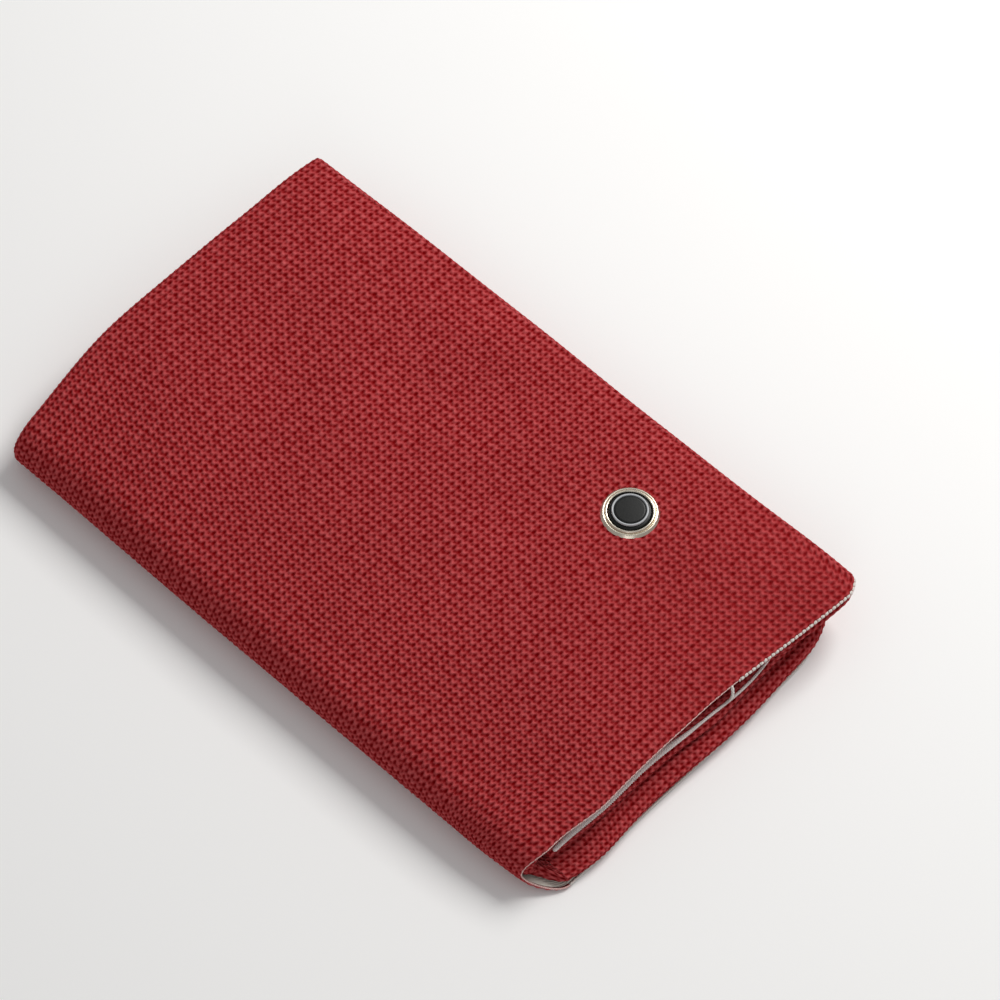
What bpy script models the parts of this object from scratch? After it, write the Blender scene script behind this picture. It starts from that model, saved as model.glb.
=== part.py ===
"""A folded fire blanket with its eyelet, edge threads and hinged top section.

The blanket is a two-ply sheet: a heavy face cloth with a thinner lining behind it. It is
letter-folded along X (an outer flap over a centre panel with an inner flap between them), and
the strip that this makes is folded in thirds along Y: a bottom section, a middle section that
turns over it at a crease on the +Y side, and a top section that turns over both at the spine
on the -Y side. Units are metres, +Z is up, and the pack lies on z = 0 with its middle at the
origin.
"""

import math

import bmesh
import bpy

# The pack
PACK_LENGTH = 0.300
PACK_WIDTH = 0.200
TOP_SETBACK = 0.005
FLAP_SETBACK = 0.0025
CREASE_SETBACK = 0.004
INNER_FLAP_SETBACK = 0.010

# The cloth
FACE_THICKNESS = 0.0012
LINING_THICKNESS = 0.0005
PLY_GAP = 0.0003
PANEL_GAP = 0.0008
SECTION_GAP = 0.0008
HEM_WIDTH = 0.0016
EDGE_THREAD_WIDTH = 0.0014
TACK_RADIUS = 0.0006
TACK_FROM_RIGHT = 0.074
TACK_SLANT = 0.0025

# The eyelet and its plug
EYELET_FROM_NEAR = 0.089
EYELET_FROM_RIGHT = 0.044
FLANGE_RADIUS = 0.0125
FLANGE_HEIGHT = 0.0018
BORE_RADIUS = 0.00935
BARREL_WALL = 0.0008
WASHER_THICKNESS = 0.0007
LIP_WIDTH = 0.0009
LIP_THICKNESS = 0.00045
PLUG_CLEARANCE = 0.00035
PLUG_RING_RADIUS = 0.00765
PLUG_RING_WIDTH = 0.0011
PLUG_STEM_RADIUS = 0.0048
PLUG_HEIGHT = 0.0030
PLUG_SHELF = 0.0006
PLUG_DEPTH = 0.0030

# Clearances and mesh fineness
SEAT_GAP = 0.0003
FOLD_STEPS = 6
CREASE_STEPS = 12
TURNED_STEPS = 48

# Worked out from the values above
LAYER = FACE_THICKNESS + PLY_GAP + LINING_THICKNESS
EYELET_ROOM = WASHER_THICKNESS + LIP_THICKNESS + 3.5 * SEAT_GAP
SECTION = 3 * LAYER + EYELET_ROOM + PANEL_GAP
CREASE_RADIUS = SECTION + SECTION_GAP / 2
PACK_HEIGHT = 3 * SECTION + 2 * SECTION_GAP
SPINE_RADIUS = PACK_HEIGHT / 2
SPINE_CENTRE_Y = -PACK_WIDTH / 2 + SPINE_RADIUS
CREASE_CENTRE_Y = PACK_WIDTH / 2 - CREASE_SETBACK - CREASE_RADIUS
LOWER_NEAR = PACK_LENGTH / 2
TOP_NEAR = LOWER_NEAR - TOP_SETBACK
FAR_CENTRE_X = -PACK_LENGTH / 2 + SECTION / 2
INNER_EDGE_X = FAR_CENTRE_X + INNER_FLAP_SETBACK
EYELET_X = PACK_LENGTH / 2 - EYELET_FROM_NEAR
EYELET_Y = PACK_WIDTH / 2 - EYELET_FROM_RIGHT
BARREL_RADIUS = BORE_RADIUS + BARREL_WALL


def remove_everything() -> None:
    """Empty the scene."""
    for thing in list(bpy.data.objects):
        bpy.data.objects.remove(thing, do_unlink=True)


def make_material(name, colour, roughness, metallic=0.0):
    """A Principled material of one colour."""
    material = bpy.data.materials.new(name)
    material.use_nodes = True
    shader = material.node_tree.nodes["Principled BSDF"]
    shader.inputs["Base Color"].default_value = (*colour, 1.0)
    shader.inputs["Roughness"].default_value = roughness
    shader.inputs["Metallic"].default_value = metallic
    return material


def add_mesh(name, points, faces, material, smooth_below=math.radians(40)):
    """Put points and faces into a named object, with its faces turned outwards."""
    mesh = bpy.data.meshes.new(name)
    mesh.from_pydata(points, [], faces)
    work = bmesh.new()
    work.from_mesh(mesh)
    bmesh.ops.recalc_face_normals(work, faces=work.faces)
    work.to_mesh(mesh)
    work.free()
    mesh.shade_smooth()
    mesh.set_sharp_from_angle(angle=smooth_below)
    mesh.materials.append(material)
    thing = bpy.data.objects.new(name, mesh)
    bpy.context.scene.collection.objects.link(thing)
    return thing


# Cross-sections are lists of (x, depth) points. Depth runs inwards from the section's outer face.


def fold_line(depth, near):
    """The letter fold's line at one depth behind the face cloth's outer side.

    It runs from the outer flap's cut edge along the flap, round the far fold, along the centre
    panel, round the near fold and back along the inner flap to that flap's cut edge.
    """
    near_outer = LAYER + PANEL_GAP / 2
    near_centre = near - near_outer
    near_depth = SECTION - near_outer
    line = [(near - FLAP_SETBACK, depth)]
    for step in range(FOLD_STEPS + 1):
        turn = math.pi * step / FOLD_STEPS
        radius = SECTION / 2 - depth
        line.append((FAR_CENTRE_X - radius * math.sin(turn), SECTION / 2 - radius * math.cos(turn)))
    for step in range(FOLD_STEPS + 1):
        turn = math.pi * step / FOLD_STEPS
        radius = near_outer - depth
        line.append((near_centre + radius * math.sin(turn), near_depth + radius * math.cos(turn)))
    line.append((INNER_EDGE_X, LAYER + EYELET_ROOM + depth))
    return line


def face_section(near):
    """Both sides of the face cloth in the letter fold."""
    return fold_line(0.0, near), fold_line(FACE_THICKNESS, near)


def lining_section(near):
    """Both sides of the lining in the letter fold."""
    return fold_line(FACE_THICKNESS + PLY_GAP, near), fold_line(LAYER, near)


def hem_section(near):
    """Both sides of a hem that takes in both plies."""
    return fold_line(0.0, near), fold_line(LAYER, near)


def thread_section(edge, direction, first_depth):
    """A rounded thread bead beside a cut edge, on the side that direction (+1 or -1) gives."""
    inner, outer = [], []
    root = edge + direction * SEAT_GAP
    for step in range(FOLD_STEPS + 1):
        turn = math.pi * step / FOLD_STEPS
        depth = first_depth + LAYER * (1 - math.cos(turn)) / 2
        inner.append((root, depth))
        outer.append((root + direction * EDGE_THREAD_WIDTH * (0.4 + 0.6 * math.sin(turn)), depth))
    return outer, inner


def flap_thread_section(near):
    """The overlock thread on the outer flap's cut edge."""
    return thread_section(near - FLAP_SETBACK, 1.0, 0.0)


def inner_thread_section():
    """The overlock thread on the inner flap's cut edge."""
    return thread_section(INNER_EDGE_X, -1.0, LAYER + EYELET_ROOM)


# Stations say where a cross-section stands: the outer face's (y, z), and the way inwards.


def arc_stations(centre_y, centre_z, radius, start, turn):
    """Stations round a crease; angles are measured from +Y towards +Z."""
    stations = []
    for step in range(CREASE_STEPS + 1):
        angle = start + turn * step / CREASE_STEPS
        away = (math.cos(angle), math.sin(angle))
        place = (centre_y + radius * away[0], centre_z + radius * away[1])
        stations.append((place, (-away[0], -away[1])))
    return stations


def lower_stations():
    """From the bottom section's spine side, round the hidden crease, to the free edge."""
    start = ((SPINE_CENTRE_Y + SEAT_GAP, 0.0), (0.0, 1.0))
    crease = arc_stations(CREASE_CENTRE_Y, CREASE_RADIUS, CREASE_RADIUS, -math.pi / 2, math.pi)
    end = ((SPINE_CENTRE_Y + HEM_WIDTH + SEAT_GAP, 2 * CREASE_RADIUS), (0.0, -1.0))
    return [start, *crease, end]


def spine_stations():
    """Round the outside of the spine, from the bottom section to the top section."""
    return arc_stations(SPINE_CENTRE_Y, SPINE_RADIUS, SPINE_RADIUS, -math.pi / 2, -math.pi)


def top_stations(start, end):
    """Along the flat top section from one y to another."""
    return [((y, PACK_HEIGHT), (0.0, -1.0)) for y in (start, end)]


def add_swept(name, section, stations, material):
    """Carry a cross-section with two equal sides through stations, closed at both ends."""
    one_side, other_side = section
    count = len(one_side)
    ring = 2 * count
    points = []
    for (y, z), (inward_y, inward_z) in stations:
        for x, depth in (*one_side, *other_side):
            points.append((x, y + depth * inward_y, z + depth * inward_z))
    faces = []
    for station in range(len(stations) - 1):
        here = station * ring
        after = here + ring
        for side in (0, count):
            for i in range(side, side + count - 1):
                faces.append((here + i, here + i + 1, after + i + 1, after + i))
        for i in (0, count - 1):
            faces.append((here + i, here + count + i, after + count + i, after + i))
    for here in (0, (len(stations) - 1) * ring):
        for i in range(count - 1):
            faces.append((here + i, here + i + 1, here + count + i + 1, here + count + i))
    return add_mesh(name, points, faces, material)


def add_turned(name, profile, material, hollow=True):
    """Turn a profile of (radius, height) points about the eyelet's axis.

    Heights are counted from the top section's outer face. A hollow piece's profile is a closed
    loop; a full piece's runs from the rim of its bottom disc to the rim of its top disc.
    """
    count = len(profile)
    points = []
    for step in range(TURNED_STEPS):
        turn = 2 * math.pi * step / TURNED_STEPS
        for radius, height in profile:
            x = EYELET_X + radius * math.cos(turn)
            y = EYELET_Y + radius * math.sin(turn)
            points.append((x, y, PACK_HEIGHT + height))
    faces = []
    for step in range(TURNED_STEPS):
        here = step * count
        after = (step + 1) % TURNED_STEPS * count
        for i in range(count if hollow else count - 1):
            j = (i + 1) % count
            faces.append((here + i, here + j, after + j, after + i))
    if not hollow:
        for i in (0, count - 1):
            faces.append([step * count + i for step in range(TURNED_STEPS)])
    return add_mesh(name, points, faces, material, math.radians(35))


def add_hole(cloth, cutter):
    """Cut the eyelet's hole through one ply."""
    cut = cloth.modifiers.new("eyelet_hole", "BOOLEAN")
    cut.operation = "DIFFERENCE"
    cut.object = cutter


def add_hole_cutter():
    """A rod through the outer flap that ends between that flap and the inner one."""
    radius = BARREL_RADIUS + SEAT_GAP
    bottom = -LAYER - EYELET_ROOM / 2
    profile = [(radius, bottom), (radius, FLANGE_HEIGHT)]
    cutter = add_turned("eyelet_hole_cutter", profile, None, hollow=False)
    cutter.hide_render = True
    cutter.display_type = "WIRE"
    return cutter


def make_lower_sections(face, lining, thread, hem):
    """The bottom and middle sections, which lie still."""
    stations = lower_stations()
    add_swept("lower_face_cloth", face_section(LOWER_NEAR), stations, face)
    add_swept("lower_lining", lining_section(LOWER_NEAR), stations, lining)
    add_swept("lower_edge_thread", flap_thread_section(LOWER_NEAR), stations, thread)
    add_swept("lower_inner_thread", inner_thread_section(), stations, thread)
    hem_stations = [
        ((y, 2 * CREASE_RADIUS), (0.0, -1.0)) for y in (SPINE_CENTRE_Y, SPINE_CENTRE_Y + HEM_WIDTH)
    ]
    add_swept("lower_side_hem", hem_section(LOWER_NEAR), hem_stations, hem)


def make_spine(face, lining, thread):
    """The round crease that the top section turns on."""
    stations = spine_stations()
    add_swept("spine_face_cloth", face_section(TOP_NEAR), stations, face)
    add_swept("spine_lining", lining_section(TOP_NEAR), stations, lining)
    add_swept("spine_edge_thread", flap_thread_section(TOP_NEAR), stations, thread)
    add_swept("spine_inner_thread", inner_thread_section(), stations, thread)


def make_top_section(face, lining, thread, hem):
    """The top section, with the hole for the eyelet through both plies of its outer flap."""
    start = SPINE_CENTRE_Y + SEAT_GAP
    cloth_end = PACK_WIDTH / 2 - HEM_WIDTH - SEAT_GAP
    stations = top_stations(start, cloth_end)
    hem_stations = top_stations(cloth_end + SEAT_GAP, PACK_WIDTH / 2)
    cutter = add_hole_cutter()
    cloth = add_swept("top_face_cloth", face_section(TOP_NEAR), stations, face)
    back = add_swept("top_lining", lining_section(TOP_NEAR), stations, lining)
    add_hole(cloth, cutter)
    add_hole(back, cutter)
    pieces = [
        cloth,
        back,
        add_swept("top_edge_thread", flap_thread_section(TOP_NEAR), stations, thread),
        add_swept("top_inner_thread", inner_thread_section(), stations, thread),
        add_swept("top_side_hem", hem_section(TOP_NEAR), hem_stations, hem),
        make_tack_thread(thread),
    ]
    return pieces, cutter


def make_tack_thread(thread):
    """The white stitch from the top section's edge thread down to the middle section's."""
    y = PACK_WIDTH / 2 - TACK_FROM_RIGHT
    clear = SEAT_GAP + TACK_RADIUS
    top_x = max(TOP_NEAR, TOP_NEAR - FLAP_SETBACK + SEAT_GAP + EDGE_THREAD_WIDTH) + clear
    low_x = max(top_x, LOWER_NEAR - FLAP_SETBACK)
    high_z = PACK_HEIGHT - LAYER / 2
    low_z = 2 * CREASE_RADIUS + clear
    route = bpy.data.curves.new("tack_thread", "CURVE")
    route.dimensions = "3D"
    route.bevel_depth = TACK_RADIUS
    route.bevel_resolution = 2
    route.use_fill_caps = True
    route.materials.append(thread)
    spline = route.splines.new("POLY")
    steps = 6
    spline.points.add(steps)
    for step in range(steps + 1):
        share = step / steps
        sideways = TACK_SLANT * share
        outwards = (low_x - top_x) * share * share
        height = high_z + (low_z - high_z) * share
        spline.points[step].co = (top_x + outwards, y - sideways, height, 1.0)
    piece = bpy.data.objects.new("tack_thread", route)
    bpy.context.scene.collection.objects.link(piece)
    return piece


def make_eyelet(metal):
    """The eyelet's flanged barrel, rolled over its washer under the lining."""
    washer_top = -LAYER - SEAT_GAP
    washer_bottom = washer_top - WASHER_THICKNESS
    lip_top = washer_bottom - SEAT_GAP
    lip_bottom = lip_top - LIP_THICKNESS
    dome = []
    for step in range(FOLD_STEPS + 1):
        turn = math.pi * step / FOLD_STEPS
        share = (1 - math.cos(turn)) / 2
        radius = BORE_RADIUS + (FLANGE_RADIUS - BORE_RADIUS) * share
        height = 2 * SEAT_GAP + (FLANGE_HEIGHT - 2 * SEAT_GAP) * math.sin(turn)
        dome.append((radius, height))
    ring_profile = [
        (BORE_RADIUS, lip_bottom),
        *dome,
        (FLANGE_RADIUS, SEAT_GAP),
        (BARREL_RADIUS, SEAT_GAP),
        (BARREL_RADIUS, lip_top),
        (BARREL_RADIUS + LIP_WIDTH, lip_top),
        (BARREL_RADIUS + LIP_WIDTH, lip_bottom),
    ]
    hole = BARREL_RADIUS + SEAT_GAP
    washer_profile = [
        (hole, washer_bottom),
        (hole, washer_top),
        (FLANGE_RADIUS, washer_top),
        (FLANGE_RADIUS, washer_bottom),
    ]
    ring = add_turned("eyelet_ring", ring_profile, metal)
    washer = add_turned("eyelet_washer", washer_profile, metal)
    return [ring, washer]


def make_plug(black, pale):
    """The removable plug: a collar in the barrel, a capped stem through it, and a pale ring."""
    bottom = -PLUG_DEPTH
    head_bottom = PLUG_SHELF + SEAT_GAP
    head_radius = PLUG_RING_RADIUS - PLUG_RING_WIDTH - SEAT_GAP
    collar_radius = BORE_RADIUS - PLUG_CLEARANCE
    chamfer = SEAT_GAP
    collar_profile = [
        (PLUG_STEM_RADIUS + SEAT_GAP, bottom),
        (PLUG_STEM_RADIUS + SEAT_GAP, PLUG_SHELF),
        (collar_radius - chamfer, PLUG_SHELF),
        (collar_radius, PLUG_SHELF - chamfer),
        (collar_radius, bottom),
    ]
    cap_profile = [
        (PLUG_STEM_RADIUS, bottom),
        (PLUG_STEM_RADIUS, head_bottom),
        (head_radius, head_bottom),
        (head_radius, PLUG_HEIGHT - 2 * chamfer),
        (head_radius - chamfer, PLUG_HEIGHT - chamfer),
        (head_radius / 3, PLUG_HEIGHT - chamfer / 2),
    ]
    ring_inner = PLUG_RING_RADIUS - PLUG_RING_WIDTH
    ring_profile = [
        (ring_inner, head_bottom),
        (ring_inner, PLUG_HEIGHT - chamfer),
        (ring_inner + chamfer, PLUG_HEIGHT),
        (PLUG_RING_RADIUS - chamfer, PLUG_HEIGHT),
        (PLUG_RING_RADIUS, PLUG_HEIGHT - chamfer),
        (PLUG_RING_RADIUS, head_bottom),
    ]
    collar = add_turned("plug_collar", collar_profile, black)
    cap = add_turned("plug_cap", cap_profile, black, hollow=False)
    ring = add_turned("plug_ring", ring_profile, pale)
    return [collar, cap, ring]


def add_pivot(name, place, pieces):
    """Hang pieces on an empty that stands on their joint's axis, without moving them."""
    pivot = bpy.data.objects.new(name, None)
    bpy.context.scene.collection.objects.link(pivot)
    pivot.location = place
    bpy.context.view_layer.update()
    for piece in pieces:
        piece.parent = pivot
        piece.matrix_parent_inverse = pivot.matrix_world.inverted()
    return pivot


def main():
    """Build the whole pack."""
    remove_everything()
    face = make_material("red_face_cloth", (0.33, 0.032, 0.036), 0.85)
    lining = make_material("white_lining", (0.78, 0.74, 0.69), 0.9)
    thread = make_material("white_thread", (0.88, 0.86, 0.82), 0.8)
    hem = make_material("red_hem", (0.30, 0.030, 0.034), 0.85)
    metal = make_material("nickel", (0.62, 0.57, 0.50), 0.25, 1.0)
    black = make_material("black_plastic", (0.025, 0.025, 0.024), 0.45)
    pale = make_material("pale_plastic", (0.45, 0.44, 0.42), 0.4)
    make_lower_sections(face, lining, thread, hem)
    make_spine(face, lining, thread)
    top_pieces, cutter = make_top_section(face, lining, thread, hem)
    top_pieces += make_eyelet(metal)
    plug_pieces = make_plug(black, pale)
    hinge = add_pivot("top_section_hinge", (0.0, -PACK_WIDTH / 2, SPINE_RADIUS), [*top_pieces, cutter])
    add_pivot("plug_slide", (EYELET_X, EYELET_Y, PACK_HEIGHT), plug_pieces)
    slide = bpy.data.objects["plug_slide"]
    slide.parent = hinge
    slide.matrix_parent_inverse = hinge.matrix_world.inverted()


main()
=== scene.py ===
"""Looks of the folded fire blanket: woven face cloth, lining, edge threads, eyelet and plug.

Every cloth surface is one sheet position worked out from two lengths. r runs along the letter
fold, from the outer flap's cut edge over the far fold, the centre panel, the near fold and the
inner flap. s runs along the fold in thirds, from the top section's free edge round the spine,
under the pack, round the hidden crease and back to the middle section's free edge.
"""

import logging
import math
from dataclasses import dataclass, field
from enum import Enum
from typing import Callable, Optional, Sequence

import bmesh
import bpy
import numpy as np
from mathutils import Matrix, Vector


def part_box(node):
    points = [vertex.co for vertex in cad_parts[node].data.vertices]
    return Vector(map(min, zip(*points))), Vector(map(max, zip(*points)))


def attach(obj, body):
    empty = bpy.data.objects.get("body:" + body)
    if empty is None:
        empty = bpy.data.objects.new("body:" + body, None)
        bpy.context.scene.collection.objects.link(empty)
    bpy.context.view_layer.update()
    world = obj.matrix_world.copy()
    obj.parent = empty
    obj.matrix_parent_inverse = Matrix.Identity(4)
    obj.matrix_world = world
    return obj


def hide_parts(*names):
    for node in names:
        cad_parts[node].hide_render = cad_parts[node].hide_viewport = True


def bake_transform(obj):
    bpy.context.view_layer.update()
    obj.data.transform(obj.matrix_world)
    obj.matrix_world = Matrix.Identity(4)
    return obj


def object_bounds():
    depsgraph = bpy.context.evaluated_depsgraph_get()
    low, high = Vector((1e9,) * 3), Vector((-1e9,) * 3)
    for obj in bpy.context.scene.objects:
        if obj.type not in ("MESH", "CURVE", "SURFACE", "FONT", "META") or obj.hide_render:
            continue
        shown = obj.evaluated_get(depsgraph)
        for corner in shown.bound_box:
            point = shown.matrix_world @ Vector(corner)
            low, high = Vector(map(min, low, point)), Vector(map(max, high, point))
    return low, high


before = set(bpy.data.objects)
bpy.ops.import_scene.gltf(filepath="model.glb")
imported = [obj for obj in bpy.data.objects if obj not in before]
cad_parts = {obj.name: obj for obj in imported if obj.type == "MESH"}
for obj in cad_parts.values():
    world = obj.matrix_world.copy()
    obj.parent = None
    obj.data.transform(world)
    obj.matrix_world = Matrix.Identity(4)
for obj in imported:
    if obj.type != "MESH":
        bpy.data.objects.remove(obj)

LOG = logging.getLogger("fire_blanket")
CAD_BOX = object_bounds()

TOP_BODY = "top_section"
LOWER_BODY = "lower_sections"
PLUG_BODY = "plug"

Array = np.ndarray
Shift = Callable[[Array, Array], Array]


def ease(value: Array, start: float, end: float) -> Array:
    """A smooth step from 0 at start to 1 at end: 3t^2 - 2t^3 of the clamped share t."""
    t = np.clip((value - start) / (end - start), 0.0, 1.0)
    return t * t * (3.0 - 2.0 * t)


def past(value: Array, start: float) -> Array:
    """How far value lies past start, squared, and 0 before it."""
    return np.maximum(value - start, 0.0) ** 2


# ---------------------------------------------------------------------------------------------
# The folded shape
# ---------------------------------------------------------------------------------------------


@dataclass
class PackShape:
    """The pack's sizes, read from the frame, and the drape that all its cloth shares."""

    width: float = CAD_BOX[1].y - CAD_BOX[0].y
    length: float = CAD_BOX[1].x - CAD_BOX[0].x
    height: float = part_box("spine_face_cloth")[1].z
    lower_height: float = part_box("lower_face_cloth")[1].z
    top_bottom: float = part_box("top_face_cloth")[0].z
    top_near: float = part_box("top_face_cloth")[1].x
    lower_near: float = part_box("lower_face_cloth")[1].x
    spine_y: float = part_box("spine_face_cloth")[1].y
    crease_out_y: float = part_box("lower_face_cloth")[1].y
    flap_edge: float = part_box("top_edge_thread")[0].x
    lower_flap_edge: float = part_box("lower_edge_thread")[0].x
    layer: float = 0.0020
    face: float = 0.0012
    crown_left: float = -0.005
    crown_right: float = 0.071
    crown_near: float = 0.079
    crown_far: float = -0.100
    stretch: float = 1.024
    narrow: float = 0.992
    left_tuck: float = 0.0058
    far_bulge: float = 0.0042
    far_reach: float = 0.0058

    @property
    def section(self) -> float:
        """Thickness of one letter-folded section."""
        return self.height - self.top_bottom

    @property
    def eyelet(self) -> Vector:
        """Middle of the eyelet, on the top section's outer face."""
        low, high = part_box("eyelet_ring")
        middle = (low + high) / 2
        return Vector((middle.x, middle.y, self.height))

    def top_height(self, x: Array, y: Array) -> Array:
        """Height of the draped top face.

        The crown is flat round the eyelet. Past it, the height falls by a coefficient times the
        squared distance, on each side its own, and low waves a few tenths high run over it.
        """
        drop = 0.95 * past(-y, -self.crown_left) + 3.0 * past(y, self.crown_right)
        drop = drop + 0.95 * past(x, self.crown_near) + 0.7 * past(-x, -self.crown_far)
        corner = np.hypot(x - self.flap_edge, y - self.width / 2)
        drop = drop - 0.0034 * np.exp(-((corner / 0.036) ** 2))
        wave = 0.00035 * np.sin(38.0 * x + 21.0 * y + 0.7) * np.sin(47.0 * y - 12.0 * x + 1.9)
        wave = wave + 0.00022 * np.sin(88.0 * x - 31.0 * y) * np.sin(71.0 * y + 1.1)
        calm = ease(np.hypot(x - self.eyelet.x, y - self.eyelet.y), 0.014, 0.034)
        return self.height - drop + wave * calm

    def drape(self, points: Array) -> Array:
        """Move points of the flat pack to the draped one.

        Heights shrink to the draped top's share of the full height, so layers keep their order.
        The plan is a little longer and narrower than the square pack, the far end bulges by a
        parabola across the width, and the near edge wanders a little.
        """
        x, y, z = points[..., 0], points[..., 1], points[..., 2]
        share = self.top_height(x, y) / self.height
        across = np.clip(y / (self.width / 2), -1.0, 1.0)
        far = ease(-x, 0.02, 0.150)
        near = ease(x, 0.105, 0.150)
        bulge = self.far_bulge * (1.0 - across**2) + self.far_reach + 0.0018 * ease(y, 0.05, 0.10)
        wander = 0.0005 * np.sin(55.0 * y + 0.4) * ease(x, 0.06, 0.14)
        left = ease(-y, 0.020, 0.095)
        tuck = self.left_tuck * left + 0.0024 * left * near + 0.0012 * left * far
        pull = 0.0036 * left * far
        tuck = tuck - 0.0011 * np.exp(-(((x - 0.060) / 0.070) ** 2)) * ease(y, 0.04, 0.10)
        along = x * self.stretch - bulge * far + pull + wander
        return np.stack([along, y * self.narrow + tuck, z * share], axis=-1)


@dataclass
class LetterFold:
    """The letter fold's line as x and depth behind the outer face, read by length r."""

    shape: PackShape
    flap_edge: float
    near: float
    roll: float
    inset: float = 0.0

    def __post_init__(self) -> None:
        """Lay out the line: lip, outer flap, far fold, centre panel, near fold, inner flap.

        Lengths are counted from the start of the far fold, so they are negative on the outer flap.
        """
        turn = np.linspace(0.0, math.pi, 25)
        lip = np.linspace(-0.5 * math.pi, 0.5 * math.pi, 7)
        section, far = self.shape.section, -self.shape.length / 2 + self.shape.section / 2
        far_radius, lip_radius = section / 2, self.shape.face / 2
        near_centre = self.near - self.roll
        zeros = np.zeros(1)
        x = np.concatenate([
            self.flap_edge - lip_radius + lip_radius * np.cos(lip),
            far - far_radius * np.sin(turn),
            near_centre + self.roll * np.sin(turn),
            zeros + far + 0.012,
        ])
        depth = np.concatenate([
            lip_radius - lip_radius * np.sin(lip),
            section / 2 - far_radius * np.cos(turn),
            section - self.roll + self.roll * np.cos(turn),
            zeros + section - 2 * self.roll,
        ])
        length = np.concatenate([zeros, np.cumsum(np.hypot(np.diff(x), np.diff(depth)))])
        length = length - length[7]
        self.lip_start = float(length[0])
        self.flap_start = float(length[6])
        self.centre_start = float(length[31])
        self.near_start = float(length[32])
        self.inner_start = float(length[56])
        self.total = float(length[-1])
        away_x = np.concatenate([0 * lip, -np.sin(turn), np.sin(turn), zeros])
        away_d = np.concatenate([0 * lip - 1, -np.cos(turn), np.cos(turn), zeros - 1])
        self._table = (length, x, depth, away_x, away_d)

    def at(self, r: Array) -> tuple[Array, Array]:
        """x and depth at lengths r, moved inwards from the face by this line's own depth."""
        length, x, depth, away_x, away_d = self._table
        out_x, out_d = np.interp(r, length, away_x), np.interp(r, length, away_d)
        return (
            np.interp(r, length, x) - self.inset * out_x,
            np.interp(r, length, depth) - self.inset * out_d,
        )


@dataclass
class ThirdsFold:
    """The fold in thirds as the outer face's y and z and the way inwards, read by length s."""

    shape: PackShape

    def __post_init__(self) -> None:
        """Lay out the line: top section, spine, bottom section, hidden crease, middle section."""
        shape = self.shape
        edge = shape.width / 2
        spine_radius, crease_radius = shape.height / 2, shape.lower_height / 2
        crease_y = shape.crease_out_y - crease_radius
        around = np.linspace(0.0, math.pi, 33)
        zeros = np.zeros(1)
        angle = np.concatenate([
            zeros + math.pi / 2,
            math.pi / 2 + around,
            -math.pi / 2 + around,
            zeros + math.pi / 2,
        ])
        centre_y = np.concatenate([
            zeros + edge, np.full(33, shape.spine_y), np.full(33, crease_y), zeros + shape.spine_y + 0.001,
        ])
        radius = np.concatenate([
            zeros + spine_radius, np.full(33, spine_radius), np.full(34, crease_radius),
        ])
        y, z = centre_y + radius * np.cos(angle), radius + radius * np.sin(angle)
        length = np.concatenate([zeros, np.cumsum(np.hypot(np.diff(y), np.diff(z)))])
        self.spine_start = float(length[1])
        self.bottom_start = float(length[33])
        self.crease_start = float(length[34])
        self.middle_start = float(length[66])
        self.total = float(length[-1])
        self._table = (length, y, z, np.cos(angle), np.sin(angle))

    def at(self, s: Array) -> tuple[Array, Array, Array, Array]:
        """y, z and the outward direction's y and z at lengths s."""
        length, y, z, out_y, out_z = self._table
        return tuple(np.interp(s, length, column) for column in (y, z, out_y, out_z))


@dataclass
class SheetPatch:
    """A stretch of cloth between lengths r and s, as a grid of points."""

    fold: LetterFold
    thirds: ThirdsFold
    r: Array
    s: Array
    near_shift: Shift
    relief: float = 0.0

    def flat_points(self) -> Array:
        """The patch on the undraped pack: the letter fold carried round the fold in thirds."""
        x, depth = self.fold.at(self.r)
        y, z, out_y, out_z = self.thirds.at(self.s)
        ys = y[None, :] - depth[:, None] * out_y[None, :]
        zs = z[None, :] - depth[:, None] * out_z[None, :]
        xs = np.repeat(x[:, None], len(self.s), axis=1)
        xs = xs + self.near_shift(ys, np.repeat(self.s[None, :], len(self.r), axis=0)) * ease(
            xs, 0.085, 0.138
        )
        return np.stack([xs, ys, zs], axis=-1)

    def points(self) -> Array:
        """The draped patch with the weave's relief along its normals."""
        draped = self.fold.shape.drape(self.flat_points())
        if not self.relief:
            return draped
        along_r = np.gradient(draped, axis=0)
        along_s = np.gradient(draped, axis=1)
        normal = np.cross(along_r, along_s)
        normal /= np.linalg.norm(normal, axis=-1, keepdims=True) + 1e-12
        r, s = np.meshgrid(self.r, self.s, indexing="ij")
        return draped + normal * (self.relief * Weave.height(r, s))[..., None]

    def uv(self) -> Array:
        """The flat sheet's own lengths, in metres, as the UV map."""
        r, s = np.meshgrid(self.r, self.s, indexing="ij")
        return np.stack([r, s], axis=-1)


# ---------------------------------------------------------------------------------------------
# Meshes
# ---------------------------------------------------------------------------------------------


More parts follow.
